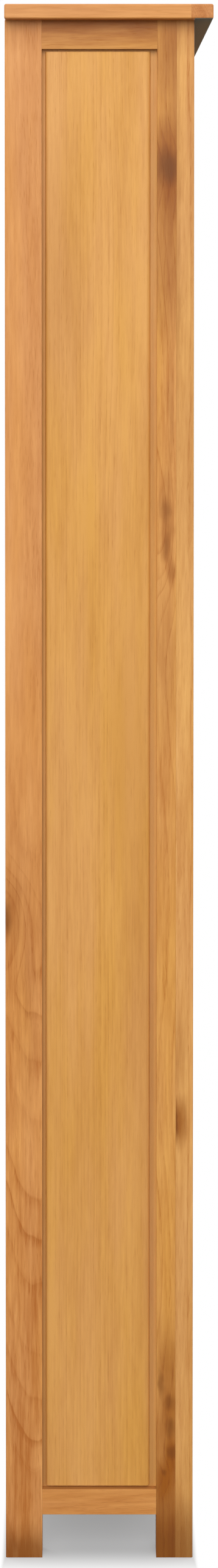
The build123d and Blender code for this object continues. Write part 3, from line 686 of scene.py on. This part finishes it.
class CABINET_OT_boards(bpy.types.Operator):
    """Finish the top, the bottom, the shelves and the back"""

    bl_idname = "cabinet.boards"
    bl_label = "Boards"

    def execute(self, context):
        oak = context.scene.cabinet_oak
        # The top's underside under its front overhang gets painted shade
        lacquered_oak("top_board", oak.rose, "X", "Z", (0.0365, -0.05), lean=(0.006, 0.01),
                      seed=1531.0, stave=BOARD_STAVE, contrast=0.9, front_underside_shade=True, edging=24 * MM,
                      stains=on_side(0.0, (0.0, 1.69, 0.6, 4.0, 0.12)))
        shelves = ["fixed_shelf", *[f"loose_shelf_{n}" for n in range(1, 5)], "bottom_board"]
        for n, shelf in enumerate(shelves):
            lacquered_oak(shelf, oak.straw, "X", "Z", (0.01 * n, 0.05), lean=(0.006, 0.01),
                          seed=65.0 + n, stave=BOARD_STAVE)
        lacquered_oak("back_panel", oak.straw, "Z", "Y", (0.0, 0.05), lean=(0.003, 0.01), seed=75.0,
                      stave=BACK_STAVE, contrast=0.7)
        lacquered_oak("back_top_rail", oak.straw, "X", "Y", (0.03, 0.05), lean=(0.004, 0.01), seed=77.0)
        lacquered_oak("floor_cleats", oak.straw, "X", "Z", (0.03, 0.05), seed=79.0)
        lacquered_oak("top_cleats", oak.straw, "Y", "Z", (0.03, 0.05), seed=81.0)
        return {"FINISHED"}


class CABINET_OT_knobs(bpy.types.Operator):
    """Finish the turned knobs, whose grain runs towards the user"""

    bl_idname = "cabinet.knobs"
    bl_label = "Knobs"

    def execute(self, context):
        oak = context.scene.cabinet_oak
        for name, side in SIDES.items():
            lacquered_oak(f"{name}_knob", oak.rose, "Y", "X", (0.02, side * 0.012), lean=(0.1, 0.1),
                          seed=85.0 + side)
        return {"FINISHED"}


def darker(colour, share):
    """Colour with only a share of its light left."""
    return (*[share * channel for channel in colour[:3]], 1.0)


def metal(name, colour, roughness, wear):
    """Bare metal under a thin film: fine scratches and handling break up its shine."""
    material, tree = new_material(name)
    here = add(tree, "TexCoord").outputs["Object"]
    film = stretched_noise(tree, here, FILM_SIZE, FILM_SIZE, 4.0)["Fac"]
    scratches = stretched_noise(tree, here, *SCRATCH, 2.0)["Fac"]
    dull = add(tree, "MapRange", (film, 0.3, 0.7, roughness - wear, roughness + wear))
    wear_and_shade = add(tree, "Mix", (film, colour, darker(colour, 0.72)), data_type="RGBA")
    relief = add(tree, "Bump", {"Height": scratches, "Distance": SCRATCH_DEPTH})
    shine = add(tree, "BsdfPrincipled",
                {"Base Color": wear_and_shade, "Metallic": 1.0, "Roughness": dull, "Normal": relief})
    add(tree, "OutputMaterial", (shine,))
    return material


def moulded_plastic(name, colour):
    """Moulded ABS: even colour with the fine satin grain of the mould."""
    material, tree = new_material(name)
    here = add(tree, "TexCoord").outputs["Object"]
    grain = stretched_noise(tree, here, MOULD_GRAIN, MOULD_GRAIN, 2.0)["Fac"]
    haze = stretched_noise(tree, here, HAZE_SIZE, HAZE_SIZE, 2.0)["Fac"]
    dull = add(tree, "MapRange", {"Value": haze, "To Min": 0.35, "To Max": 0.55})
    aged = add(tree, "Mix", (haze, colour, darker(colour, 0.9)), data_type="RGBA")
    relief = add(tree, "Bump", {"Height": grain, "Distance": MOULD_DEPTH})
    shell = add(tree, "BsdfPrincipled",
                {"Base Color": aged, "Roughness": dull, "Normal": relief, "IOR": 1.53})
    add(tree, "OutputMaterial", (shell,))
    return material


class CABINET_OT_fittings(bpy.types.Operator):
    """Finish the hinges, shelf pins and catches"""

    bl_idname = "cabinet.fittings"
    bl_label = "Fittings"

    def execute(self, context):
        fittings = context.scene.cabinet_fittings
        brass = metal("Lacquered brass", fittings.brass, 0.28, 0.08)
        steel = metal("Zinc-plated steel", fittings.steel, 0.34, 0.08)
        plastic = moulded_plastic("Moulded ABS", fittings.plastic)
        for name in SIDES:
            for node in ("hinge_frame_leaves", "hinge_door_leaves", "hinge_pins"):
                dress(f"{name}_{node}", brass)
            dress(f"{name}_strike_plate", steel)
            dress(f"{name}_catch", plastic)
        dress("shelf_pins", steel)
        return {"FINISHED"}


def new_geometry_tree(name, sizes):
    """Geometry Nodes group with a geometry, some sizes, a seed and a material as inputs."""
    inputs = {"Geometry": "Geometry", **dict.fromkeys(sizes, "Float"), "Seed": "Int",
              "Material": "Material"}
    return new_tree(name, "GeometryNodeTree", inputs, {"Geometry": "Geometry"})


def end_geometry_tree(tree, given, instances):
    """Give out a tree's instances as plain meshes of its material."""
    plain = add(tree, "RealizeInstances", {"Geometry": instances})
    finished = add(tree, "SetMaterial", {"Geometry": plain, "Material": given["Material"]})
    add(tree, "GroupOutput", {"Geometry": finished})


def screw_tree():
    """Tree that sets a screw at every point: its head faces along the point's axis, its slot anyhow."""
    tree, given = new_geometry_tree("Screws", SCREW_SIZES)
    cone = add(tree, "MeshCone", {"Vertices": 24, "Radius Top": given["Head radius"],
                                  "Radius Bottom": given["Neck radius"], "Depth": given["Head height"]})
    down = add(tree, "Math", (given["Head height"], -1.0), "MULTIPLY")
    cut = add(tree, "Transform", {"Geometry": cone, "Translation": add(tree, "CombineXYZ", {"Z": down})})
    deep = add(tree, "Math", (given["Slot depth"], 2.0), "MULTIPLY")
    for long, wide in (("Slot length", "Slot width"), ("Slot width", "Cross length")):
        size = add(tree, "CombineXYZ", (given[long], given[wide], deep))
        slot = add(tree, "MeshCube", {"Size": size})
        cut = add(tree, "MeshBoolean", {"Mesh 1": cut, "Mesh 2": slot}, "DIFFERENCE", solver="EXACT")
    tip = add(tree, "Math", (given["Shank radius"], TIP), "MULTIPLY")
    reach = add(tree, "Math", (given["Length"], given["Head height"]), "SUBTRACT")
    taper = add(tree, "MeshCone", {"Vertices": 12, "Radius Top": given["Shank radius"],
                                   "Radius Bottom": tip, "Depth": reach})
    back = add(tree, "Math", (given["Length"], -1.0), "MULTIPLY")
    shank = add(tree, "Transform",
                {"Geometry": taper, "Translation": add(tree, "CombineXYZ", {"Z": back})})
    screw = add(tree, "JoinGeometry", {"Geometry": cut})
    tree.links.new(shank.outputs["Geometry"], screw.inputs["Geometry"])
    axis = add(tree, "InputNamedAttribute", {"Name": "axis"}, data_type="FLOAT_VECTOR")
    facing = add(tree, "AlignRotationToVector", {"Vector": axis}, axis="Z")
    driven = add(tree, "InstanceOnPoints",
                 {"Points": given["Geometry"], "Instance": screw, "Rotation": facing})
    turn = add(tree, "RandomValue", {"Max": math.tau, "Seed": given["Seed"]}, data_type="FLOAT")
    spin = add(tree, "CombineXYZ", {"Z": turn})
    turned = add(tree, "RotateInstances", {"Instances": driven, "Rotation": spin, "Local Space": True})
    end_geometry_tree(tree, given, turned)
    return tree


def brad_tree():
    """Tree that drives small brads along every edge, at even distances, their heads towards the wall."""
    tree, given = new_geometry_tree("Brads", ("Head radius", "Head height", "Spacing"))
    line = add(tree, "MeshToCurve", {"Mesh": given["Geometry"]})
    points = add(tree, "CurveToPoints", {"Curve": line, "Length": given["Spacing"]}, mode="LENGTH")
    crown = add(tree, "Math", (given["Head radius"], BRAD_CROWN), "MULTIPLY")
    cone = add(tree, "MeshCone", {"Vertices": 16, "Radius Top": crown,
                                  "Radius Bottom": given["Head radius"], "Depth": given["Head height"]})
    head = add(tree, "Transform", {"Geometry": cone, "Rotation": (-math.pi / 2, 0.0, 0.0)})
    size = add(tree, "RandomValue", {"Min": 0.9, "Max": 1.1, "Seed": given["Seed"]}, data_type="FLOAT")
    driven = add(tree, "InstanceOnPoints", {"Points": points, "Instance": head, "Scale": size})
    end_geometry_tree(tree, given, driven)
    return tree


def grow(name, tree, inputs, points, axes, edges, body, slot, stands_for=()):
    """Run a tree on points and edges, keep the result as one plain mesh, and hang it on its body."""
    seeds = bpy.data.meshes.new(f"{name}_points")
    seeds.from_pydata(points, edges, [])
    directions = seeds.attributes.new("axis", "FLOAT_VECTOR", "POINT")
    directions.data.foreach_set("vector", [part for axis in axes for part in axis])
    piece = new_object(name, seeds)
    modifier = piece.modifiers.new("Fasteners", "NODES")
    modifier.node_group = tree
    for socket in tree.interface.items_tree:
        if socket.name in inputs:
            modifier[socket.identifier] = inputs[socket.name]
    graph = bpy.context.evaluated_depsgraph_get()
    mesh = bpy.data.meshes.new_from_object(piece.evaluated_get(graph))
    piece.modifiers.remove(modifier)
    piece.data = mesh
    bpy.data.meshes.remove(seeds)
    if not mesh.polygons:
        raise RuntimeError(f"{name} has no faces")
    mesh.name = name
    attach(piece, body)
    if stands_for:
        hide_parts(*stands_for)


def screws_of(node, axis):
    """Head centres and directions of a CAD node's equal screws, and their two radii and length."""
    n = AXES.index(axis)
    mesh = bmesh.new()
    mesh.from_mesh(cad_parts[node].data)
    bmesh.ops.remove_doubles(mesh, verts=mesh.verts, dist=0.001 * MM)
    heads, directions, seen = [], [], set()
    for first in mesh.verts:
        if first in seen:
            continue
        seen.add(first)
        front, island = [first], []
        while front:
            vert = front.pop()
            island.append(vert.co.copy())
            for edge in vert.link_edges:
                other = edge.other_vert(vert)
                if other not in seen:
                    seen.add(other)
                    front.append(other)
        low = Vector([min(place[k] for place in island) for k in range(3)])
        high = Vector([max(place[k] for place in island) for k in range(3)])
        middle = (low + high) / 2
        length = high[n] - low[n]
        radii = []
        for end in (low[n], high[n]):
            near = [place - middle for place in island if abs(place[n] - end) < 0.02 * length]
            radii.append(max((place.length_squared - place[n] ** 2) ** 0.5 for place in near))
        way = 1.0 if radii[1] > radii[0] else -1.0
        direction = Vector([way if k == n else 0.0 for k in range(3)])
        heads.append(middle + direction * length / 2)
        directions.append(direction)
    mesh.free()
    return (heads, directions), max(radii), min(radii), length


def countersunk(head, shank, length):
    """Sizes of a screw whose head narrows to its shank."""
    return head, shank, head - shank, shank, length


def pan_head(head, shank, length):
    """Sizes of a screw whose head stands proud and narrows to its crown."""
    return PAN_CROWN * head, head, PAN_HEIGHT * head, shank, length


def drive(piece, tree, places, sizes, body, finish, stands_for=(), slot=None, seed=9):
    """Make screws of one size as one piece, with a slot or else a cross cut into their heads.

    sizes are the radius of the head and of its neck, the head's height, the radius of the
    shank and the length. slot is how long and how wide the slot is.
    """
    fittings = bpy.context.scene.cabinet_fittings
    recess = slot or (CROSS_REACH * sizes[0], CROSS_REACH * sizes[0])
    values = (*sizes, *recess, fittings.slot_width, fittings.slot_depth)
    grow(piece, tree, {**dict(zip(SCREW_SIZES, values)), "Seed": seed,
                       "Material": bpy.data.materials[finish]},
         *places, [], body, METAL_SLOTS[finish], stands_for)


class CABINET_OT_screws(bpy.types.Operator):
    """Make the screws of the hinges, the top, the knobs and the catches"""

    bl_idname = "cabinet.screws"
    bl_label = "Screws"

    def execute(self, context):
        fittings = context.scene.cabinet_fittings
        tree = screw_tree()
        self.hinge_screws("frame_hinge_screws", tree, fittings, "frame_leaf_screws", "carcass", 3)
        for n, name in enumerate(SIDES):
            self.hinge_screws(f"{name}_hinge_screws", tree, fittings, f"{name}_door_leaf_screws",
                              f"{name}_door", 5 + n)
            self.knob_screw(name, tree)
        self.top_screws(tree)
        self.catch_screws(tree, fittings)
        return {"FINISHED"}

    def hinge_screws(self, piece, tree, fittings, node, body, seed):
        """Countersunk brass screws with a plain slot."""
        places, head, shank, length = screws_of(node, "X")
        drive(piece, tree, places, countersunk(head, shank, length), body, "Lacquered brass", [node],
              (SLOT_REACH * head, fittings.slot_width), seed)

    def knob_screw(self, name, tree):
        """Pan-head screw through the door into the knob."""
        places, *sizes = screws_of(f"{name}_knob_screw", "Y")
        drive(f"{name}_knob_fixing", tree, places, pan_head(*sizes), f"{name}_door",
              "Zinc-plated steel", [f"{name}_knob_screw"])

    def top_screws(self, tree):
        """Countersunk screws through the cleats into the top."""
        places, *sizes = screws_of("top_screws", "Z")
        drive("top_fixing_screws", tree, places, countersunk(*sizes), "carcass", "Zinc-plated steel",
              ["top_screws"])

    def catch_screws(self, tree, fittings):
        """Pan-head screws in the slots of each catch's ears, and flush ones in each strike plate."""
        sizes = (fittings.catch_head, fittings.catch_shank, fittings.catch_screw)
        heads = []
        for name in SIDES:
            low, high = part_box(f"{name}_catch")
            middle = (low + high) / 2
            level = high.z - EAR_THICKNESS - PAN_HEIGHT * fittings.catch_head
            heads += [Vector((middle.x + way * EAR_REACH, high.y - EAR_MIDDLE, level))
                      for way in (-1, 1)]
            low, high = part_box(f"{name}_strike_plate")
            middle = (low + high) / 2
            plates = [Vector((middle.x + way * PLATE_REACH, high.y + PLATE_PROUD, middle.z))
                      for way in (-1, 1)]
            drive(f"{name}_plate_screws", tree, (plates, [Vector((0, 1, 0))] * 2), countersunk(*sizes),
                  f"{name}_door", "Zinc-plated steel")
        drive("catch_screws", tree, (heads, [Vector((0, 0, -1))] * len(heads)), pan_head(*sizes),
              "carcass", "Zinc-plated steel")


class CABINET_OT_brads(bpy.types.Operator):
    """Drive brads through the edges of the back into the sides, the rail and the boards"""

    bl_idname = "cabinet.brads"
    bl_label = "Brads"

    def execute(self, context):
        fittings = context.scene.cabinet_fittings
        low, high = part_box("back_panel")
        edge = (low.x + SIDE_HIGH.x) / 2
        foot, top = low.z + BRAD_START, high.z - BRAD_START
        lines = [((x, high.y, foot), (x, high.y, top)) for x in (edge, -edge)]
        for node in ("back_top_rail", "fixed_shelf", "bottom_board"):
            board_low, board_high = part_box(node)
            level = (board_low.z + board_high.z) / 2
            end = edge + BRAD_INSET
            lines.append(((end, high.y, level), (-end, high.y, level)))
        points = [point for line in lines for point in line]
        edges = [(2 * n, 2 * n + 1) for n in range(len(lines))]
        grow("back_brads", brad_tree(),
             {"Head radius": fittings.brad_head, "Head height": BRAD_HEIGHT * fittings.brad_head,
              "Spacing": fittings.brad_spacing, "Seed": 4,
              "Material": bpy.data.materials["Zinc-plated steel"]},
             points, [(0, 1, 0)] * len(points), edges, "carcass", METAL_SLOTS["Zinc-plated steel"])
        return {"FINISHED"}


class CABINET_OT_poles(bpy.types.Operator):
    """Set the steel pole plates into the fronts of the catches"""

    bl_idname = "cabinet.poles"
    bl_label = "Pole plates"

    def execute(self, context):
        fittings = context.scene.cabinet_fittings
        size = Vector((fittings.pole_length, POLE_DEPTH, fittings.pole_thickness))
        plates = bmesh.new()
        for name in SIDES:
            low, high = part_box(f"{name}_catch")
            middle = (low + high) / 2
            for way in (-0.5, 0.5):
                place = Vector((middle.x, low.y - fittings.pole_proud + size.y / 2,
                                middle.z - POLE_DROP + way * fittings.pole_spread))
                cube = bmesh.ops.create_cube(plates, size=1.0)["verts"]
                for vert in cube:
                    vert.co = place + Vector([a * b for a, b in zip(vert.co, size)])
        bmesh.ops.bevel(plates, geom=plates.edges[:], offset=POLE_EDGE, segments=2, profile=0.5,
                        affect="EDGES")
        mesh = bpy.data.meshes.new("catch_poles")
        plates.to_mesh(mesh)
        plates.free()
        mesh.materials.append(bpy.data.materials["Zinc-plated steel"])
        piece = new_object("catch_poles", mesh)
        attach(piece, "carcass")
        return {"FINISHED"}


def soft_lamp(name, place, target, size, power):
    """Square softbox turned towards a point."""
    lamp = bpy.data.lights.new(name, "AREA")
    lamp.shape = "SQUARE"
    lamp.size = size
    lamp.energy = power
    holder = new_object(name, lamp)
    holder.location = place
    holder.rotation_mode = "QUATERNION"
    holder.rotation_quaternion = (Vector(target) - Vector(place)).to_track_quat("-Z", "Y")


def seen_directly(tree):
    """1 for rays from the camera and for mirror-like and clear ones, 0 for rays that only light."""
    path = add(tree, "LightPath").outputs
    either = add(tree, "Math", (path["Is Camera Ray"], path["Is Glossy Ray"]), "MAXIMUM")
    return add(tree, "Math", (either, path["Is Transmission Ray"]), "MAXIMUM")


class CABINET_OT_stage(bpy.types.Operator):
    """Build the floor, the light and the camera"""

    bl_idname = "cabinet.stage"
    bl_label = "Stage"

    def execute(self, context):
        stage = context.scene.cabinet_stage
        self.build_floor(stage)
        self.build_world(context, stage)
        for name, (place, size) in SOFTBOXES.items():
            soft_lamp(name, place, (CAD_LOW + CAD_HIGH) / 2, size,
                      stage.key if name == "Key light" else stage.fill)
        self.build_camera(context, stage)
        context.scene.view_settings.view_transform = "Standard"
        return {"FINISHED"}

    def build_floor(self, stage):
        """Pale floor that keeps the cabinet's soft shadow and turns white away from it."""
        mesh = bpy.data.meshes.new("Studio floor")
        sheet = bmesh.new()
        bmesh.ops.create_grid(sheet, x_segments=1, y_segments=1, size=FLOOR_HALF)
        sheet.to_mesh(mesh)
        sheet.free()
        floor = new_object("Studio floor", mesh)
        material, tree = new_material("Painted floor")
        here = add(tree, "TexCoord").outputs["Object"]
        middle = (SIDE_HIGH.y + FACE_LOW.y) / 2
        half_depth = (SIDE_HIGH.y - FACE_LOW.y) / 2
        centred = add(tree, "VectorMath", (here, (0.0, middle, 0.0)), "SUBTRACT")
        scaled = add(tree, "VectorMath", (centred, (1 / SIDE_LOW.x, 1 / half_depth, 0.0)), "MULTIPLY")
        folded = add(tree, "VectorMath", (scaled,), "ABSOLUTE")
        sides = add(tree, "SeparateXYZ", (folded,)).outputs
        along = add(tree, "MapRange", (sides["X"], *SHADE_ALONG), interpolation_type="SMOOTHSTEP")
        beside = add(tree, "MapRange", (sides["Y"], *SHADE_BESIDE), interpolation_type="SMOOTHSTEP")
        far = add(tree, "Math", (along, beside), "MAXIMUM")
        seen = seen_directly(tree)
        lifted = add(tree, "MapRange", {"Value": far, "To Min": stage.shade, "To Max": 1.0})
        white = add(tree, "Math", (lifted, seen), "MULTIPLY")
        tint = add(tree, "Mix", (seen, tuple(stage.bounce), tuple(stage.floor)), data_type="RGBA")
        paint = add(tree, "BsdfDiffuse", {"Color": tint})
        glow = add(tree, "Emission", {"Color": (1, 1, 1, 1), "Strength": 1.0})
        mixed = add(tree, "MixShader", (white, paint, glow))
        add(tree, "OutputMaterial", (mixed,))
        mesh.materials.append(material)

    def build_world(self, context, stage):
        """White wherever it is seen, and a soft light that comes more from the sides than from above."""
        world = bpy.data.worlds.new("Studio")
        world.use_nodes = True
        tree = world.node_tree
        tree.nodes.clear()
        height = add(tree, "SeparateXYZ", (add(tree, "TexCoord"),)).outputs["Z"]
        shares = [share * stage.ambient for share in AMBIENT_SHARES]
        soft = add(tree, "MapRange", (height, 0.0, 1.0, *shares))
        strength = add(tree, "Mix", (seen_directly(tree), soft, 1.0), data_type="FLOAT")
        light = add(tree, "Background", {"Color": (1, 1, 1, 1), "Strength": strength})
        add(tree, "OutputWorld", (light,))
        context.scene.world = world

    def build_camera(self, context, stage):
        """Camera square to the left side, its axis shifted to the photograph's."""
        lens = bpy.data.cameras.new("Camera")
        lens.lens = stage.lens
        longer = max(IMAGE_WIDTH, IMAGE_HEIGHT)
        lens.shift_x = (IMAGE_WIDTH / 2 - AXIS_PIXEL_X) / longer
        lens.shift_y = (AXIS_PIXEL_Y - IMAGE_HEIGHT / 2) / longer
        camera = new_object("Camera", lens)
        camera.location = (SIDE_LOW.x - stage.distance, stage.aside, stage.eye)
        level = Vector((1.0, 0.0, 0.0)).to_track_quat("-Z", "Y").to_euler()
        camera.rotation_euler = (level.x - stage.tilt, level.y, level.z)
        context.scene.camera = camera


OPERATORS = (CABINET_OT_sides, CABINET_OT_face_frame, CABINET_OT_doors, CABINET_OT_boards,
             CABINET_OT_knobs, CABINET_OT_fittings, CABINET_OT_screws, CABINET_OT_brads,
             CABINET_OT_poles, CABINET_OT_stage)
SETTINGS = {"cabinet_oak": OakSettings, "cabinet_fittings": FittingSettings,
            "cabinet_stage": StageSettings}


class CABINET_PT_panel(bpy.types.Panel):
    """Sidebar panel that lists the steps and the settings"""

    bl_idname = "CABINET_PT_panel"
    bl_label = "Oak pantry cabinet"
    bl_space_type = "VIEW_3D"
    bl_region_type = "UI"
    bl_category = "Cabinet"

    def draw(self, context):
        for operator in OPERATORS:
            self.layout.operator(operator.bl_idname)
        for name, group in SETTINGS.items():
            box = self.layout.box()
            for field in group.__annotations__:
                box.prop(getattr(context.scene, name), field)


def register():
    """Register the classes and hang the settings on the scene."""
    for cls in (*SETTINGS.values(), *OPERATORS, CABINET_PT_panel):
        bpy.utils.register_class(cls)
    for name, group in SETTINGS.items():
        setattr(bpy.types.Scene, name, bpy.props.PointerProperty(type=group))


def unregister():
    """Take the settings and the classes away again."""
    for name in SETTINGS:
        delattr(bpy.types.Scene, name)
    for cls in reversed((*SETTINGS.values(), *OPERATORS, CABINET_PT_panel)):
        bpy.utils.unregister_class(cls)


def main():
    """Run every step in order."""
    register()
    bpy.ops.cabinet.sides()
    bpy.ops.cabinet.face_frame()
    bpy.ops.cabinet.doors()
    bpy.ops.cabinet.boards()
    bpy.ops.cabinet.knobs()
    bpy.ops.cabinet.fittings()
    bpy.ops.cabinet.screws()
    bpy.ops.cabinet.brads()
    bpy.ops.cabinet.poles()
    bpy.ops.cabinet.stage()


if __name__ == "__main__":
    main()
